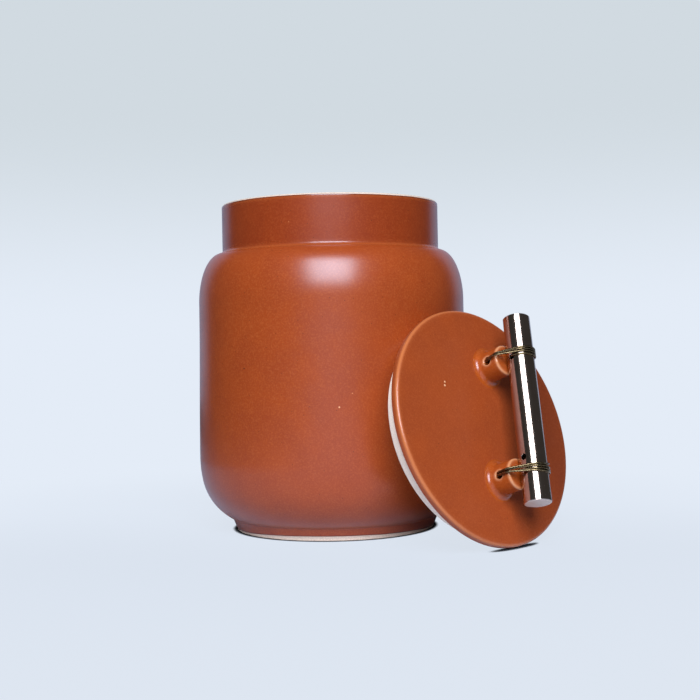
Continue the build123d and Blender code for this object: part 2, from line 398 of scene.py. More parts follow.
def make_jar():
    """The jar: one skin outside and inside, glazed but for its rim, its foot's end and its underside."""
    line = jar_line()
    run = along(line)
    outward = normals_of(line)
    rim_top = place_on(line, (NECK_RADIUS, JAR_HEIGHT - BARE_RIM))
    rim_in = place_on(line, (NECK_RADIUS - NECK_WALL, JAR_HEIGHT - BARE_RIM - BARE_MOUTH))
    foot = place_on(line, (FOOT_RADIUS, BARE_FOOT))
    # Distance past the glaze line: above zero on glaze, below zero on bare clay
    outside = np.minimum(run - foot, rim_top - run)
    glaze = np.clip(np.where(run < rim_in, outside, run - rim_in), *JAR_GLAZE_LIMITS)
    angles = round_angles(JAR_SEGMENTS)
    # The foot was dipped deeper at two sides, so its bare band is widest at front and back
    foot_wave = wander(angles, *FOOT_WANDER)
    foot_wave -= FOOT_TILT * np.cos(2 * (angles - math.radians(VIEW_TURN - 90)))
    rim_wave = wander(angles, *RIM_WANDER)
    loose_wave = wave(angles, LOOSE_SEED, (1, 2, 3))

    def waved(index):
        """Distance past the glaze line round the ring of a point."""
        near_foot = run[index] < (foot + rim_top) / 2
        return glaze[index] + (foot_wave if near_foot else rim_wave)

    def shape(index, radii, heights):
        """A ring's radii and heights, with the clay sunk under the glaze and the wall a little out of round."""
        height = line[index][1]
        deeper = JAR_BARE_INSET * bare_share(waved(index))
        inward = deeper * (1 if height > FOOT_FACE else 0)
        inward += LOOSENESS * (1 + loose_wave) * min(1, height / LOOSE_ABOVE)
        return radii - outward[index][0] * inward, heights - outward[index][1] * deeper * LEVEL_SHARE

    vertices, faces, rings = turned_mesh(line, JAR_SEGMENTS, shape)
    radii, heights = np.array(line).T
    thin = fade(radii, heights, NECK_RADIUS, JAR_HEIGHT, RIM_THIN)
    thin += CREST_THIN_SHARE * fade(radii, heights, NECK_RADIUS + CREST_LAND, NECK_Z, CREST_THIN)
    fields = skin_fields(rings, len(vertices), glaze, waved, thin)
    return make_piece("jar_glazed_body", vertices, faces, Matrix.Identity(4), fields)


def make_lid():
    """The lid: glazed on its face and edge, bare on its seat, its plug ring and its underside."""
    line = lid_line()
    # The line runs from the face down, so these point inward
    inward = normals_of(line)
    glaze_end = place_on(line, (LID_RADIUS - LID_GLAZE_OVER, -LID_THICKNESS))
    glaze = np.clip(glaze_end - along(line), *LID_GLAZE_LIMITS)
    edge_wave = wander(round_angles(LID_SEGMENTS), *LID_WANDER)

    def waved(index):
        """Distance past the glaze line round the ring of a point."""
        return glaze[index] + edge_wave

    def shape(index, radii, heights):
        """A ring's radii and heights, with the clay sunk under the glaze."""
        on_rim = 1 if line[index][0] > LID_RIM_FROM else 0
        deeper = LID_BARE_INSET * bare_share(waved(index)) * on_rim
        return radii + inward[index][0] * deeper, heights + inward[index][1] * deeper

    vertices, faces, rings = turned_mesh(line, LID_SEGMENTS, shape)
    faces = [face[::-1] for face in faces]
    radii, heights = np.array(line).T
    thin = fade(radii, heights, LID_RADIUS - LID_THIN_IN, -LID_THIN_DOWN, LID_THIN)
    fields = skin_fields(rings, len(vertices), glaze, waved, thin)
    return make_piece("lid_glazed_disc", vertices, faces, LID_MATRIX, fields)


def cutter(name, line, matrix, segments):
    """A turned solid that cuts a piece; it is removed after the cut."""
    vertices, faces, _ = turned_mesh(line, segments)
    return make_piece(name, vertices, faces, matrix)


def cut(piece, cutters, voxel=0.0, smoothing=0):
    """Takes the cutters from a piece, and where a voxel size is given rounds all its edges a little."""
    for index, tool in enumerate(cutters):
        step = piece.modifiers.new(f"cut{index}", "BOOLEAN")
        step.operation = "DIFFERENCE"
        step.solver = "EXACT"
        step.object = tool
    if voxel:
        step = piece.modifiers.new("skin", "REMESH")
        step.mode = "VOXEL"
        step.voxel_size = voxel * MM
        step = piece.modifiers.new("soft", "SMOOTH")
        step.factor = SMOOTHING_SHARE
        step.iterations = smoothing
    bpy.context.view_layer.update()
    mesh = bpy.data.meshes.new_from_object(piece.evaluated_get(bpy.context.evaluated_depsgraph_get()))
    piece.modifiers.clear()
    piece.data = mesh
    mesh.shade_smooth()
    for tool in cutters:
        bpy.data.objects.remove(tool)


def in_metres(matrix):
    """The same turn and place, with the place in metres."""
    return Matrix.Translation(matrix.translation * MM) @ matrix.to_3x3().to_4x4()


def make_post(name, side):
    """One stud: a flared foot that runs into the lid's face, a cross hole and a shallow saddle."""
    flare_end = POST_RADIUS + POST_FLARE
    skirt = flare_end + POST_SKIRT
    line = [(0, -POST_SINK), (skirt, -POST_SINK), (skirt, -POST_SKIRT_DROP)]
    line += arc((flare_end, POST_FLARE), POST_FLARE, 270, -90, FLARE_STEP)
    line += [(POST_RADIUS, POST_HEIGHT), (0, POST_HEIGHT)]
    line = filled(soften(line, (POST_RADIUS, POST_HEIGHT), POST_RIM_ROUND), POST_STEP)
    vertices, faces, _ = turned_mesh(line, POST_SEGMENTS)
    post = make_piece(name, vertices, faces, Matrix.Identity(4))

    reach = POST_RADIUS + 2 * CUT_PAST
    lip = (HOLE_RADIUS + HOLE_ROUND, POST_RADIUS - HOLE_ROUND - HOLE_SET_IN)
    hole = arc(lip, HOLE_ROUND, 180, -90, HOLE_STEP)
    mouth = HOLE_RADIUS + HOLE_ROUND + CUT_PAST
    hole += [(mouth, hole[-1][1]), (mouth, reach), (0, reach)]
    across = Matrix.Translation((0, 0, HOLE_HEIGHT)) @ Matrix.Rotation(math.pi / 2, 4, "X")
    bore = cutter("bore", both_ways(hole), across, BORE_SEGMENTS)
    saddle_line = both_ways([(SADDLE_RADIUS, reach + CUT_PAST), (0, reach + CUT_PAST)])
    along_bar = Matrix.Translation((0, BAR_ACROSS, BAR_HEIGHT)) @ Matrix.Rotation(math.pi / 2, 4, "Y")
    saddle = cutter("saddle", saddle_line, along_bar, SADDLE_SEGMENTS)
    cut(post, [bore, saddle], POST_VOXEL, POST_SMOOTHING)

    places = np.zeros(len(post.data.vertices) * 3)
    post.data.vertices.foreach_get("co", places)
    x, y, z = places.reshape(-1, 3).T / MM
    # The pale band at the rim and round the hole: thin glaze, and partly a painted highlight
    thin = fade(np.hypot(x, y), z, POST_RADIUS, POST_HEIGHT, POST_THIN_AND_GLINT)
    lip_radius = HOLE_RADIUS + HOLE_THIN_OUT
    lips = fade(np.hypot(x, z - HOLE_HEIGHT), np.abs(y), lip_radius, POST_RADIUS, HOLE_THIN)
    thin = np.clip(thin + HOLE_THIN_AND_GLINT_SHARE * lips, 0, 1)
    set_fields(post.data, {"edge": thin, "glaze": np.full(len(x), JAR_GLAZE_LIMITS[1])})
    post.data.transform(in_metres(HANDLE_MATRIX @ Matrix.Translation((side * POST_SPACING / 2, 0, 0))))
    return post


def make_bar():
    """The bar, with a fine chamfer at each end and its two cross holes."""
    half = BAR_LENGTH / 2
    line = both_ways([(BAR_RADIUS, half), (0, half)])
    for end in (-half, half):
        line = soften(line, (BAR_RADIUS, end), BAR_CHAMFER, 2)
    vertices, faces, _ = turned_mesh(filled(line, BAR_STEP), BAR_SEGMENTS)
    bar = make_piece("handle_bar_rod", vertices, faces, Matrix.Rotation(math.pi / 2, 4, "Y"))

    wide = BAR_HOLE_RADIUS + BAR_HOLE_WIDER
    reach = BAR_RADIUS + CUT_PAST
    drill = [(BAR_HOLE_RADIUS, BAR_RADIUS - BAR_HOLE_CHAMFER), (wide, BAR_RADIUS)]
    drill += [(wide + DRILL_FLARE, reach), (0, reach)]
    drills = []
    for side in (-1, 1):
        place = Matrix.Translation((side * BAR_HOLE_SPACING / 2, 0, 0)) @ Matrix.Rotation(math.pi / 2, 4, "X")
        drills.append(cutter("drill", both_ways(drill), place, DRILL_SEGMENTS))
    cut(bar, drills)
    bar.data.transform(in_metres(BAR_MATRIX))
    bar.data.set_sharp_from_angle(angle=math.radians(BAR_SHARP_ANGLE))
    return bar


# Lashing


def wrap_corner(hand, leg, leg_height):
    """Where the corner above the bar lies, for a leg on one hand that touches the wrap."""
    out = leg - hand * BAR_ACROSS
    drop = BAR_HEIGHT - leg_height
    lean = math.acos(WIRE_WRAP / math.hypot(out, drop)) - math.atan2(drop, out)
    return BAR_ACROSS + hand * WIRE_WRAP * (1 - math.sin(lean)) / math.cos(lean)


def lashing_route(side, hand, shift, bar_pitch, last_turn_off, chance):
    """Corners and bend radii of one lashing, in the handle's frame."""
    top = BAR_HEIGHT + WIRE_WRAP
    near = POST_RADIUS + WIRE_RADIUS + WIRE_TO_POST
    far = near + WIRE_PITCH
    rim = POST_HEIGHT + WIRE_OVER_RIM
    half = WIRE_PITCH / 2
    # In the hole the four strands lie two on two; each has a place outward and a level
    strands = [(1, -1), (1, 1), (-1, 1), (-1, -1)]
    middle = side * POST_SPACING / 2

    def hole_place(turn):
        """Where a turn leaves the stud's hole: along the bar, out from the stud and up, with its bend."""
        outward, level = strands[turn]
        leg = near if level > 0 else far
        bend = HOLE_BEND if level > 0 else HOLE_BEND + WIRE_PITCH
        return middle + side * outward * half, leg, HOLE_HEIGHT + level * half, bend

    start_x, _, start_z, _ = hole_place(0)
    points = [(start_x, -hand * (POST_RADIUS - WIRE_END_IN), start_z)]
    bends = []
    for turn in range(WIRE_TURNS):
        x, leg, z, bend = hole_place(turn)
        turn_x = ((WIRE_TURNS - 1) / 2 - turn) * bar_pitch + chance.uniform(-WIRE_SHAKE, WIRE_SHAKE)
        if turn == WIRE_TURNS - 1:
            turn_x -= last_turn_off
        # At the stud's rim the strands still lie two on two; they fan out as they reach the bar
        outward, level = strands[turn]
        rim_spread = NEAR_SPREAD if level > 0 else FAR_SPREAD
        rim_x = middle + side * (RIM_SHIFT * shift + outward * rim_spread * WIRE_PITCH)
        bar_x = middle + side * (shift + turn_x)
        points += [(x, hand * leg, z), (rim_x, hand * leg, rim)]
        points += [(bar_x, wrap_corner(hand, leg, rim), top)]
        bends += [bend, RIM_BEND, WIRE_WRAP - WRAP_SLACK]
        if turn + 1 < WIRE_TURNS:
            next_x, next_leg, next_z, next_bend = hole_place(turn + 1)
            points += [(bar_x, wrap_corner(-hand, next_leg, rim), top)]
            points += [(rim_x, -hand * next_leg, rim), (next_x, -hand * next_leg, next_z)]
            bends += [WIRE_WRAP - WRAP_SLACK, RIM_BEND, next_bend]
    tail_x = BAR_ALONG + side * BAR_HOLE_SPACING / 2
    tail_leg = WIRE_WRAP + TAIL_OUT - hand * BAR_ACROSS
    tail_end = BAR_RADIUS - WIRE_END_IN - hand * BAR_ACROSS
    points += [(bar_x, wrap_corner(-hand, tail_leg, BAR_HEIGHT), top)]
    points += [(tail_x, -hand * tail_leg, BAR_HEIGHT), (tail_x, -hand * tail_end, BAR_HEIGHT)]
    bends += [WIRE_WRAP - WRAP_SLACK, TAIL_BEND]
    return [Vector(p) for p in points], bends


def bent_path(points, bends):
    """Places along a route whose corners are bent to their radii."""
    headings = [(b - a).normalized() for a, b in zip(points, points[1:])]
    lengths = [(b - a).length for a, b in zip(points, points[1:])]
    cuts = []
    for index, bend in enumerate(bends):
        turn = headings[index].angle(headings[index + 1])
        cuts.append([bend * math.tan(turn / 2), turn])
    # Two bends that would overlap on a short straight share nearly all of its length
    for index, length in enumerate(lengths):
        ends = [k for k in (index - 1, index) if 0 <= k < len(cuts)]
        total = sum(cuts[k][0] for k in ends)
        if total > length:
            for k in ends:
                cuts[k][0] *= length / total * FIT_SHARE
    path = [points[0]]

    def run_to(place):
        """Adds places along the straight to a place."""
        start = path[-1]
        count = max(1, int((place - start).length / WIRE_STEP))
        path.extend(start.lerp(place, (k + 1) / count) for k in range(count))

    for index, (cut_length, turn) in enumerate(cuts):
        u, v = headings[index], headings[index + 1]
        corner = points[index + 1]
        start = corner - u * cut_length
        run_to(start)
        if turn < LEAST_TURN:
            continue
        radius = cut_length / math.tan(turn / 2)
        inward = (v - u * u.dot(v)).normalized()
        centre = start + inward * radius
        count = max(BEND_LEAST, int(radius * turn / WIRE_STEP))
        for k in range(1, count + 1):
            angle = turn * k / count
            path.append(centre - inward * radius * math.cos(angle) + u * radius * math.sin(angle))
    run_to(points[-1])
    return path


def make_lashing(name, side, hand, shift, bar_pitch, last_turn_off):
    """One wire, round in section, with cut ends, swept along its route."""
    chance = random.Random(WIRE_SEED + side)
    path = bent_path(*lashing_route(side, hand, shift, bar_pitch, last_turn_off, chance))
    path = [p for k, p in enumerate(path) if k == 0 or (p - path[k - 1]).length > LEAST_STEP]
    across = Vector((0, 0, 1))
    vertices, runs, run = [], [], 0.0
    for index, place in enumerate(path):
        before = path[max(0, index - 1)]
        after = path[min(len(path) - 1, index + 1)]
        heading = (after - before).normalized()
        across = (across - heading * across.dot(heading)).normalized()
        other = heading.cross(across)
        if index:
            run += (place - before).length
        for k in range(WIRE_SIDES):
            angle = 2 * math.pi * k / WIRE_SIDES
            vertices.append(place + (across * math.cos(angle) + other * math.sin(angle)) * WIRE_RADIUS)
            runs.append(run)
    last = len(vertices) - WIRE_SIDES
    faces = []
    for low in range(0, last, WIRE_SIDES):
        high = low + WIRE_SIDES
        for k in range(WIRE_SIDES):
            after = (k + 1) % WIRE_SIDES
            faces.append([low + k, low + after, high + after, high + k])
    faces += [list(range(WIRE_SIDES))[::-1], list(range(last, last + WIRE_SIDES))]
    return make_piece(name, vertices, faces, HANDLE_MATRIX, {"run": runs})


# Materials


def linear(code):
    """Linear colour, with alpha, from a hex sRGB code."""
    parts = [int(code[k: k + 2], 16) / 255 for k in (1, 3, 5)]
    return tuple(p / 12.92 if p <= 0.04045 else ((p + 0.055) / 1.055) ** 2.4 for p in parts) + (1.0,)


def add(tree, kind, inputs=None, **settings):
    """A node with its settings; each input takes a number, a colour or another node's output."""
    made = tree.nodes.new("ShaderNode" + kind)
    for key, value in settings.items():
        setattr(made, key, value)
    for key, value in (inputs or {}).items():
        if isinstance(value, bpy.types.NodeSocket):
            tree.links.new(value, made.inputs[key])
        else:
            made.inputs[key].default_value = value
    return made


def new_material(name):
    """A material with an empty node tree."""
    material = bpy.data.materials.new(name)
    material.use_nodes = True
    tree = material.node_tree
    tree.nodes.clear()
    return material, tree


def blend(tree, share, a, b, kind="MIX"):
    """Colour a turned into colour b by a share."""
    return add(tree, "Mix", {0: share, 6: a, 7: b}, data_type="RGBA", blend_type=kind).outputs[2]


def between(tree, share, a, b):
    """Number a turned into number b by a share."""
    return add(tree, "Mix", {0: share, 2: a, 3: b}, data_type="FLOAT").outputs[0]


def ease(tree, value, low, high, to_low=0.0, to_high=1.0):
    """A value's share of the way from low to high, eased, given out between two other values."""
    inputs = {0: value, 1: low, 2: high, 3: to_low, 4: to_high}
    return add(tree, "MapRange", inputs, interpolation_type="SMOOTHSTEP").outputs[0]


def calc(tree, operation, a, b=0.0):
    """One operation on one or two numbers."""
    return add(tree, "Math", {0: a, 1: b}, operation=operation).outputs[0]


def noise(tree, place, size, detail, **more):
    """Cloudy noise with features of about a size in millimetres."""
    inputs = {"Vector": place, "Scale": 1 / (size * MM), "Detail": detail, **more}
    return add(tree, "TexNoise", inputs).outputs["Fac"]


def noise_along(tree, value, scale, detail):
    """Noise along one value."""
    inputs = {"W": value, "Scale": scale, "Detail": detail}
    return add(tree, "TexNoise", inputs, noise_dimensions="1D").outputs["Fac"]


def spots(tree, place, cell, core, edge, channel, above):
    """Round spots in some cells of a random pattern; core and edge are shares of a cell's size."""
    cells = add(tree, "TexVoronoi", {"Vector": place, "Scale": 1 / (cell * MM), "Randomness": 1.0}).outputs
    luck = add(tree, "SeparateColor", {0: cells["Color"]}).outputs[channel]
    chosen = calc(tree, "GREATER_THAN", luck, above)
    return calc(tree, "MULTIPLY", ease(tree, cells["Distance"], core, edge, 1.0, 0.0), chosen)


def along_way(tree, place, way):
    """How far a place lies in a direction."""
    return add(tree, "VectorMath", {0: place, 1: way}, operation="DOT_PRODUCT").outputs["Value"]


def close_material(tree, colour, rough, relief, strength, depth, **more):
    """A material's surface: its colour, roughness, and relief with a depth in millimetres."""
    bump = add(tree, "Bump", {"Height": relief, "Strength": strength, "Distance": depth * MM})
    inputs = {"Base Color": colour, "Roughness": rough, "Normal": bump.outputs["Normal"], **more}
    add(tree, "OutputMaterial", {"Surface": add(tree, "BsdfPrincipled", inputs).outputs[0]})


# Glaze and clay. Sizes and distances in millimetres
CLOUD_SIZE, GRAIN_SIZE, SAND_SIZE, PEEL_SIZE, RING_PITCH = 15, 0.8, 0.5, 1.3, 4
# Specks and pinholes: cell, core and edge, the channel of chance, and the chance above which a cell has one
SPECKS, PINHOLES = (2.4, 0.06, 0.12, 0, 0.72), (11, 0.018, 0.034, 1, 0.62)
SPECK_COLOUR, PINHOLE_COLOUR, LINE_COLOUR = "#3A170A", "#B8764C", "#421C0D"
GRAIN_SHARE, SPECK_SHARE, PINHOLE_SHARE, MARK_SHARE, THIN_SHARE, LINE_SHARE = 0.35, 0.75, 0.8, 0.9, 0.6, 0.7
# The parts of each noise's range over which its colour or roughness changes
CLOUD_BAND, GRAIN_BAND, SAND_BAND, WIDE_BAND = (0.32, 0.7), (0.42, 0.7), (0.35, 0.65), (0.3, 0.7)
# Distances past the glaze line: where clay turns to glaze, and where the dark line there starts and ends
GLAZE_FROM, LINE_FROM, LINE_TO = (-0.05, 0.06), (0.0, 0.12), (0.25, 0.75)
# The clouds' spread of roughness, the share of roughness that a thin edge loses, and bare clay's roughness
ROUGH_SPREAD, THIN_GLOSS, CLAY_ROUGH = 0.03, 0.55, 0.88
# Relief: the shares of the orange peel and the pinholes, the strength of it all, and its depth
PEEL_RELIEF, PINHOLE_RELIEF, GLAZE_RELIEF = 0.5, 0.6, (0.5, 0.03)


def glaze_material(name, body, cloud, light, thin, low_rough, ring_share, index, shade, bare, marks=()):
    """Satin iron-red glaze over pale clay from an oxidising kiln: an even warm red-brown with a soft sheen."""
    material, tree = new_material(name)
    place = add(tree, "TexCoord").outputs["Object"]
    past_edge = add(tree, "Attribute", attribute_name="glaze").outputs["Fac"]
    thin_edge = add(tree, "Attribute", attribute_name="edge").outputs["Fac"]
    # Clouds where the glaze lay thicker or thinner, and a fine grain
    clouds = noise(tree, place, CLOUD_SIZE, 4.0, Roughness=0.55)
    grain = noise(tree, place, GRAIN_SIZE, 3.0, Roughness=0.6)
    colour = blend(tree, ease(tree, clouds, *CLOUD_BAND), linear(body), linear(cloud))
    colour = blend(tree, ease(tree, grain, *GRAIN_BAND, 0.0, GRAIN_SHARE), colour, linear(light))
    # One part of a piece made darker: a direction, where that starts and ends along it, and its tone.
    # On the lid and the studs this is painted shade; on the jar it is the neck's darker tone
    way, start, end, tone = shade
    darker_part = ease(tree, along_way(tree, place, way), start * MM, end * MM)
    colour = blend(tree, 1.0, colour, blend(tree, darker_part, linear("#FFFFFF"), linear(tone)), "MULTIPLY")
    # Iron specks: dark dots of about 0.4 mm
    specks = spots(tree, place, *SPECKS)
    colour = blend(tree, calc(tree, "MULTIPLY", specks, SPECK_SHARE), colour, linear(SPECK_COLOUR))
    # Rare pale flecks of about 0.6 mm where the glaze pinholed down to the clay
    pinholes = spots(tree, place, *PINHOLES)
    colour = blend(tree, calc(tree, "MULTIPLY", pinholes, PINHOLE_SHARE), colour, linear(PINHOLE_COLOUR))
    for spot, radius, spot_colour in marks:
        apart = add(tree, "VectorMath", {0: place, 1: Vector(spot) * MM}, operation="DISTANCE")
        share = ease(tree, apart.outputs["Value"], 0.5 * radius * MM, radius * MM, MARK_SHARE, 0.0)
        colour = blend(tree, share, colour, linear(spot_colour))
    # The glaze draws off sharp edges and shows the lighter body through it; on the studs the pale band is
    # partly painted highlight
    colour = blend(tree, calc(tree, "MULTIPLY", thin_edge, THIN_SHARE), colour, linear(thin))
    # A dark line where the glaze ends, then bare clay with a fine sand grain
    line_start, line_end = ease(tree, past_edge, *LINE_FROM), ease(tree, past_edge, *LINE_TO, 1.0, 0.0)
    line = calc(tree, "MULTIPLY", line_start, line_end)
    colour = blend(tree, calc(tree, "MULTIPLY", line, LINE_SHARE), colour, linear(LINE_COLOUR))
    sand = noise(tree, place, SAND_SIZE, 2.0)
    clay = blend(tree, ease(tree, sand, *SAND_BAND), linear(bare[0]), linear(bare[1]))
    glazed = ease(tree, past_edge, *GLAZE_FROM)
    colour = blend(tree, glazed, clay, colour)
    # Satin on the faces, glossier where the glaze is thin, and dull on clay
    rough = ease(tree, clouds, *WIDE_BAND, low_rough, low_rough + ROUGH_SPREAD)
    kept = calc(tree, "SUBTRACT", 1.0, calc(tree, "MULTIPLY", thin_edge, THIN_GLOSS))
    rough = between(tree, glazed, CLAY_ROUGH, calc(tree, "MULTIPLY", rough, kept))
    # Relief: orange peel, the faint rings that throwing leaves, and the pinholes
    peel = noise(tree, place, PEEL_SIZE, 2.0)
    height = add(tree, "SeparateXYZ", {0: place}).outputs[2]
    rings = noise_along(tree, height, 1 / (RING_PITCH * MM), 3.0)
    peel, rings = calc(tree, "MULTIPLY", peel, PEEL_RELIEF), calc(tree, "MULTIPLY", rings, ring_share)
    holes = calc(tree, "MULTIPLY", pinholes, PINHOLE_RELIEF)
    relief = calc(tree, "SUBTRACT", calc(tree, "ADD", peel, rings), holes)
    close_material(tree, colour, rough, relief, *GLAZE_RELIEF, IOR=index)
    return material


# Bar: the drawing lines' length and pitch, the clouds, the rings and the depth of the ends, in millimetres
DRAWN_LENGTH, DRAWN_PITCH, BAR_CLOUD_SIZE, FACING_PITCH, END_DEPTH = 40, 0.35, 9, 0.25, 0.2
BAR_COLOUR, BAR_CLOUD_COLOUR, DRAWN_COLOUR, END_COLOUR = "#BFAA9B", "#B4A08D", "#937A64", "#EBD3BC"
BAR_CLOUD_BAND, DRAWN_BAND, DRAWN_SHARE, END_SHARE = (0.35, 0.7), (0.4, 0.75), 0.4, 0.8
BAR_ROUGH, END_ROUGH, BAR_RELIEF = (0.09, 0.15), 0.42, (0.25, 0.008)


def bar_material():
    """Drawn pale brass rod, polished: a bright warm mirror with faint lines along it and faced ends."""
    material, tree = new_material("polished_pale_brass")
    on_bar = {
        "Vector": add(tree, "TexCoord").outputs["Object"],
        "Location": BAR_MATRIX.translation * MM,
        "Rotation": BAR_MATRIX.to_euler(),
    }
    local = add(tree, "Mapping", on_bar, vector_type="TEXTURE").outputs["Vector"]
    stretch = (1 / (DRAWN_LENGTH * MM), 1 / (DRAWN_PITCH * MM), 1 / (DRAWN_PITCH * MM))
    drawn = add(tree, "Mapping", {"Vector": local, "Scale": stretch}).outputs["Vector"]
    lines = add(tree, "TexNoise", {"Vector": drawn, "Scale": 1.0, "Detail": 3.0}).outputs["Fac"]
    clouds = noise(tree, local, BAR_CLOUD_SIZE, 4.0)
    # Facing marks on the ends: fine rings
    x, y, z = add(tree, "SeparateXYZ", {0: local}).outputs
    squares = calc(tree, "ADD", calc(tree, "MULTIPLY", y, y), calc(tree, "MULTIPLY", z, z))
    facing = noise_along(tree, calc(tree, "SQRT", squares), 1 / (FACING_PITCH * MM), 2.0)
    end_face = calc(tree, "GREATER_THAN", calc(tree, "ABSOLUTE", x), (BAR_LENGTH / 2 - END_DEPTH) * MM)
    colour = blend(tree, ease(tree, clouds, *BAR_CLOUD_BAND), linear(BAR_COLOUR), linear(BAR_CLOUD_COLOUR))
    colour = blend(tree, ease(tree, lines, *DRAWN_BAND, 0.0, DRAWN_SHARE), colour, linear(DRAWN_COLOUR))
    # The faced ends weren't polished: they are paler and duller
    colour = blend(tree, calc(tree, "MULTIPLY", end_face, END_SHARE), colour, linear(END_COLOUR))
    rough = between(tree, end_face, ease(tree, lines, *WIDE_BAND, *BAR_ROUGH), END_ROUGH)
    close_material(tree, colour, rough, between(tree, end_face, lines, facing), *BAR_RELIEF, Metallic=1.0)
    return material


# Wires: tarnished patches for each millimetre of length, and the grain's size in millimetres
PATCHES_PER_MM, TARNISH_SIZE = 0.35, 0.6
WIRE_COLOUR, PATCH_COLOUR, TARNISH_COLOUR = "#84714F", "#69563B", "#3F3220"
PATCH_BAND, TARNISH_BAND, TARNISH_SHARE = (0.35, 0.65), (0.5, 0.75), 0.4
WIRE_ROUGH, WIRE_RELIEF = (0.2, 0.34), (0.4, 0.02)


def wire_material():
    """Soft brass binding wire, dulled with age: olive gold with brown tarnish in patches along its length."""
    material, tree = new_material("aged_brass_wire")
    run = add(tree, "Attribute", attribute_name="run").outputs["Fac"]
    patches = noise_along(tree, run, PATCHES_PER_MM, 4.0)
    grain = noise(tree, add(tree, "TexCoord").outputs["Object"], TARNISH_SIZE, 3.0)
    colour = blend(tree, ease(tree, patches, *PATCH_BAND), linear(WIRE_COLOUR), linear(PATCH_COLOUR))
    colour = blend(tree, ease(tree, grain, *TARNISH_BAND, 0.0, TARNISH_SHARE), colour, linear(TARNISH_COLOUR))
    rough = ease(tree, patches, *WIDE_BAND, *WIRE_ROUGH)
    close_material(tree, colour, rough, grain, *WIRE_RELIEF, Metallic=1.0)
    return material


# Marks in the glaze: the place, the radius and the colour of each
JAR_MARKS = [
    ((53.11, -46.59, 66.65), 0.55, "#E2A273"),
    ((57.02, -41.52, 73.12), 0.4, "#C97F50"),
    ((10.61, -69.49, 85.67), 0.5, "#33140A"),
    ((24.93, -51.48, 156.88), 0.4, "#B06238"),
]
LID_MARKS = [
    ((93.37, -16.4, 78.14), 0.6, "#EBB684"),
    ((93.93, -17.09, 76.49), 0.7, "#EBB684"),
]
# Bare clay, two tones each. The lid's is the jar's clay painted paler: painted light on its plug ring and seat,
# which lie in shade under its rim
WARM_CLAY, PAINTED_LIT_CLAY = ("#DAC0A8", "#C8AE97"), ("#FFE6CC", "#F4D8BE")
# The darker parts: the jar's neck, and a cool painted shade over the side of lid and studs towards +Y, past the
# bar
NECK_SHADE = ((0, 0, 1), NECK_Z - 0.4, NECK_Z + 1.2, "#EADCDC")
LID_PAINTED_SHADE, STUD_PAINTED_SHADE = ((0, 1, 0), 24, 50, "#CFCFE4"), ((0, 1, 0), 24, 50, "#EEEAF0")
jar_glaze = glaze_material(
    "iron_red_glaze_on_clay_jar", body="#963C13", cloud="#903812", light="#B75D2C", thin="#B4602F",
    low_rough=0.275, ring_share=0.35, index=1.5, shade=NECK_SHADE, bare=WARM_CLAY, marks=JAR_MARKS,
)
lid_glaze = glaze_material(
    "iron_red_glaze_on_clay_lid", body="#963D12", cloud="#903A12", light="#B3592B", thin="#D07C48",
    low_rough=0.45, ring_share=0.0, index=1.4, shade=LID_PAINTED_SHADE, bare=PAINTED_LIT_CLAY, marks=LID_MARKS,
)
# The studs' glaze is a brighter, more orange copy of the lid's: painted light for the glow on their sides that
# face the light
stud_glaze = glaze_material(
    "iron_red_glaze_on_studs_painted_lit", body="#A34714", cloud="#953F12", light="#B9612D", thin="#EAAA76",
    low_rough=0.22, ring_share=0.0, index=1.5, shade=STUD_PAINTED_SHADE, bare=WARM_CLAY,
)
bar_metal = bar_material()
wire_metal = wire_material()

# Each lashing's name, side and hand, its shift along the bar, its pitch there, and its last turn's extra step
LASHING_UPPER = ("lashing_upper", -1, 1, 1.4, 1.08, 0.35)
LASHING_LOWER = ("lashing_lower", 1, -1, -0.35, 1.18, 0.0)

pieces = [
    (make_jar(), "jar", "jar_body", "jar_glaze", jar_glaze),
    (make_lid(), "lid", "lid", "lid_glaze", lid_glaze),
    (make_post("handle_stud_upper", -1), "lid", "handle_post_upper", "post_glaze", stud_glaze),
    (make_post("handle_stud_lower", 1), "lid", "handle_post_lower", "post_glaze", stud_glaze),
    (make_bar(), "lid", "handle_bar", "bar_metal", bar_metal),
    (make_lashing(*LASHING_UPPER), "lid", "lashing_wire_upper", "lashing_brass", wire_metal),
    (make_lashing(*LASHING_LOWER), "lid", "lashing_wire_lower", "lashing_brass", wire_metal),
]
for piece, body, node, slot, material in pieces:
    piece.data.materials.clear()
    piece.data.materials.append(material)
    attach(piece, body)
    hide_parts(node)


# Table, backdrop, light and camera

BACKDROP_RADIUS, BACKDROP_HEIGHT, BACKDROP_HALF_TURN = 1.45, 1.0, 50
BACKDROP_ROWS, BACKDROP_COLUMNS, BACKDROP_BELOW = 24, 49, -0.02
TABLE_LINES, TABLE_PAST_BACKDROP = 25, 0.05
# How much of the table's seen brightness is glow near the pieces; farther off all of it is
GLOW_NEAR = 0.92
# How far the painted contact shadow on the paper reaches from what stands on it, and the paper's grain in
# millimetres
CONTACT_SHADOW_REACH, PAPER_GRAIN = 0.003, 1.5
# The paper's colours, as seen: in front of the pieces, behind them and high up. Then its colours where it is
# shaded, and what the pieces see of it: its shine, its mirrored tone and the table's lit and unlit parts
NEAR_PAPER, FAR_PAPER, HIGH_PAPER = "#DEE6F1", "#E4ECF7", "#D1DAE1"
SHADED_PAPER, SHADED_GRAIN = "#ABB2BA", "#B1B7BE"
SHINE_COLOUR, MIRRORED_COLOUR = "#5E6678", "#B4C4E4"
LIT_STRIP, UNLIT_PAPER = "#CBD4E3", "#2C2C2E"
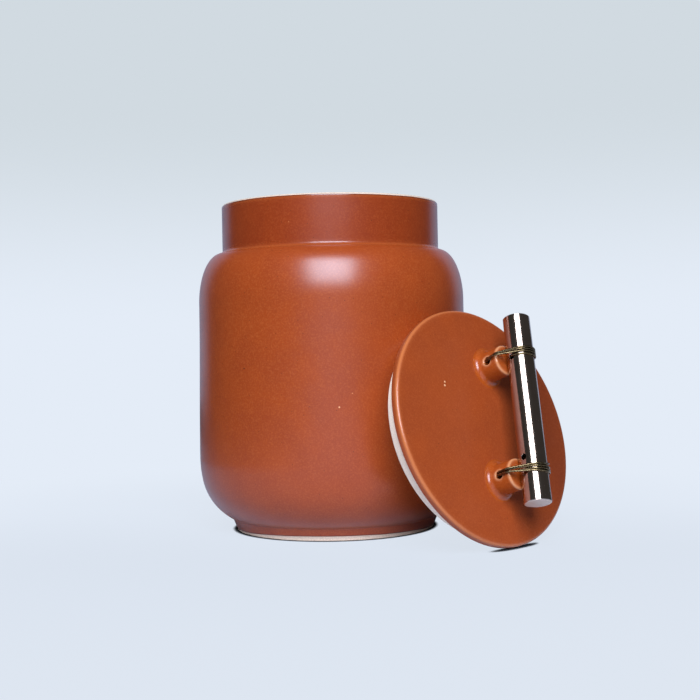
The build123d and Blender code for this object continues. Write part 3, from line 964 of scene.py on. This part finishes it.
# Where the paper changes: away from the camera, upward, to the side of the lit strip, and outward for the
# painted contact shadow and the glow. Also the part of the occlusion's range that this painted shadow shows
AWAY_BAND, HIGH_BAND, ASIDE_BAND = (-0.12, 0.09), (0.12, 0.5), (0.2, 0.5)
CONTACT_SHADOW_ENDS, GLOW_BAND, CONTACT_SHADOW_BAND = (0.3, 0.5), (0.1, 0.35), (0.55, 0.95)

SOFTBOX_TURN, SOFTBOX_RISE, SOFTBOX_DISTANCE = VIEW_TURN - 1, 37, 2.0
SOFTBOX_WIDTH, SOFTBOX_HEIGHT = 1.2, 1.25
SOFTBOX_WATTS, SOFTBOX_COLOUR = 82, "#DEEAFF"
SOFTBOX_TARGET = (0.03, 0, 0.085)
ROOM_COLOUR, ROOM_STRENGTH = "#D8DDE4", 0.09

# The camera's place is in millimetres
CAMERA_PLACE = (472.3, -448.0, 98.0)
CAMERA_TURN, CAMERA_RISE, CAMERA_ROLL = 45.69, 89.58, -1.10
CAMERA_LENS, CAMERA_SENSOR, CAMERA_CLIP = 62.85, 36, 0.01


def paper_material(name, floor):
    """Pale seamless paper. For the camera it also glows a little, as evenly lit paper does."""
    material, tree = new_material(name)
    place = add(tree, "TexCoord").outputs["Object"]
    turn = math.radians(VIEW_TURN)
    away = along_way(tree, place, (-math.sin(turn), math.cos(turn), 0))
    colour = blend(tree, ease(tree, away, *AWAY_BAND), linear(NEAR_PAPER), linear(FAR_PAPER))
    if not floor:
        height = add(tree, "SeparateXYZ", {0: place}).outputs[2]
        colour = blend(tree, ease(tree, height, *HIGH_BAND), colour, linear(HIGH_PAPER))
    # To the pieces the paper shines dimmer, and bluer in a mirror, than it looks straight on
    rays = add(tree, "LightPath").outputs
    seen = rays["Is Camera Ray"]
    unseen = blend(tree, rays["Is Glossy Ray"], linear(SHINE_COLOUR), linear(MIRRORED_COLOUR))
    colour = blend(tree, seen, unseen, colour)
    if not floor:
        surface = add(tree, "Emission", {"Color": colour, "Strength": 1.0}).outputs[0]
        add(tree, "OutputMaterial", {"Surface": surface})
        return material
    grain = noise(tree, place, PAPER_GRAIN, 3.0)
    paper = blend(tree, ease(tree, grain, *WIDE_BAND), linear(SHADED_PAPER), linear(SHADED_GRAIN))
    # Only the strip behind and below the pieces is lit enough to shine back at them
    across = along_way(tree, place, (math.cos(turn), math.sin(turn), 0))
    aside = ease(tree, calc(tree, "ABSOLUTE", across), *ASIDE_BAND)
    lit = blend(tree, aside, linear(LIT_STRIP), linear(UNLIT_PAPER))
    paper = blend(tree, seen, lit, paper)
    diffuse = add(tree, "BsdfDiffuse", {"Color": paper}).outputs[0]
    # Painted contact shadow: the paper's glow darkens in the last millimetres before whatever stands on it
    out = add(tree, "VectorMath", {0: place}, operation="LENGTH").outputs["Value"]
    near = add(tree, "AmbientOcclusion", {"Distance": CONTACT_SHADOW_REACH}, samples=12).outputs["AO"]
    near = calc(tree, "MAXIMUM", ease(tree, near, *CONTACT_SHADOW_BAND), ease(tree, out, *CONTACT_SHADOW_ENDS))
    glow = add(tree, "Emission", {"Color": colour, "Strength": near}).outputs[0]
    share = calc(tree, "MULTIPLY", seen, ease(tree, out, *GLOW_BAND, GLOW_NEAR, 1.0))
    surface = add(tree, "MixShader", {0: share, 1: diffuse, 2: glow}).outputs[0]
    add(tree, "OutputMaterial", {"Surface": surface})
    return material


def grid_mesh(name, points, material):
    """A stage surface from rows of points."""
    across = len(points[0])
    vertices = [p for row in points for p in row]
    faces = []
    for row in range(len(points) - 1):
        for first in range(row * across, (row + 1) * across - 1):
            faces.append([first, first + 1, first + across + 1, first + across])
    mesh = bpy.data.meshes.new(name)
    mesh.from_pydata(vertices, [], faces)
    mesh.shade_smooth()
    mesh.materials.append(material)
    made = bpy.data.objects.new(name, mesh)
    bpy.context.scene.collection.objects.link(made)


def make_stage():
    """A paper table top, and a curved paper backdrop behind it."""
    reach = BACKDROP_RADIUS + TABLE_PAST_BACKDROP
    lines = np.linspace(-reach, reach, TABLE_LINES)
    grid_mesh("table", [[(x, y, 0) for x in lines] for y in lines], paper_material("pale_table_paper", True))
    turns = np.linspace(-BACKDROP_HALF_TURN, BACKDROP_HALF_TURN, BACKDROP_COLUMNS)
    angles = np.radians(VIEW_TURN + 90 + turns)
    foot = [(BACKDROP_RADIUS * math.cos(a), BACKDROP_RADIUS * math.sin(a)) for a in angles]
    heights = np.linspace(BACKDROP_BELOW, BACKDROP_HEIGHT, BACKDROP_ROWS)
    wall_rows = [[(x, y, height) for x, y in foot] for height in heights]
    grid_mesh("backdrop", wall_rows, paper_material("pale_backdrop_paper", False))


def make_softbox():
    """The one lamp: a soft rectangle that faces the pieces from the camera's side, higher up."""
    turn, rise = math.radians(SOFTBOX_TURN), math.radians(SOFTBOX_RISE)
    back = Vector((math.sin(turn) * math.cos(rise), -math.cos(turn) * math.cos(rise), math.sin(rise)))
    lamp = bpy.data.lights.new("key_softbox", "AREA")
    lamp.shape = "RECTANGLE"
    lamp.size = SOFTBOX_WIDTH
    lamp.size_y = SOFTBOX_HEIGHT
    lamp.energy = SOFTBOX_WATTS
    lamp.color = linear(SOFTBOX_COLOUR)[:3]
    made = bpy.data.objects.new("key_softbox", lamp)
    made.location = Vector(SOFTBOX_TARGET) + back * SOFTBOX_DISTANCE
    made.rotation_euler = back.to_track_quat("Z", "Y").to_euler()
    bpy.context.scene.collection.objects.link(made)


def make_world():
    """A dim room."""
    world = bpy.data.worlds.new("room")
    bpy.context.scene.world = world
    world.use_nodes = True
    tree = world.node_tree
    tree.nodes.clear()
    room = add(tree, "Background", {"Color": linear(ROOM_COLOUR), "Strength": ROOM_STRENGTH})
    add(tree, "OutputWorld", {"Surface": room.outputs[0]})


def make_camera():
    """The photograph's view."""
    camera = bpy.data.cameras.new("camera")
    camera.lens = CAMERA_LENS
    camera.sensor_width = CAMERA_SENSOR
    camera.clip_start = CAMERA_CLIP
    made = bpy.data.objects.new("camera", camera)
    made.matrix_world = (
        Matrix.Translation(Vector(CAMERA_PLACE) * MM)
        @ Matrix.Rotation(math.radians(CAMERA_TURN), 4, "Z")
        @ Matrix.Rotation(math.radians(CAMERA_RISE), 4, "X")
        @ Matrix.Rotation(math.radians(CAMERA_ROLL), 4, "Z")
    )
    bpy.context.scene.collection.objects.link(made)
    bpy.context.scene.camera = made


make_stage()
make_world()
make_softbox()
make_camera()
bpy.context.scene.view_settings.view_transform = "Standard"
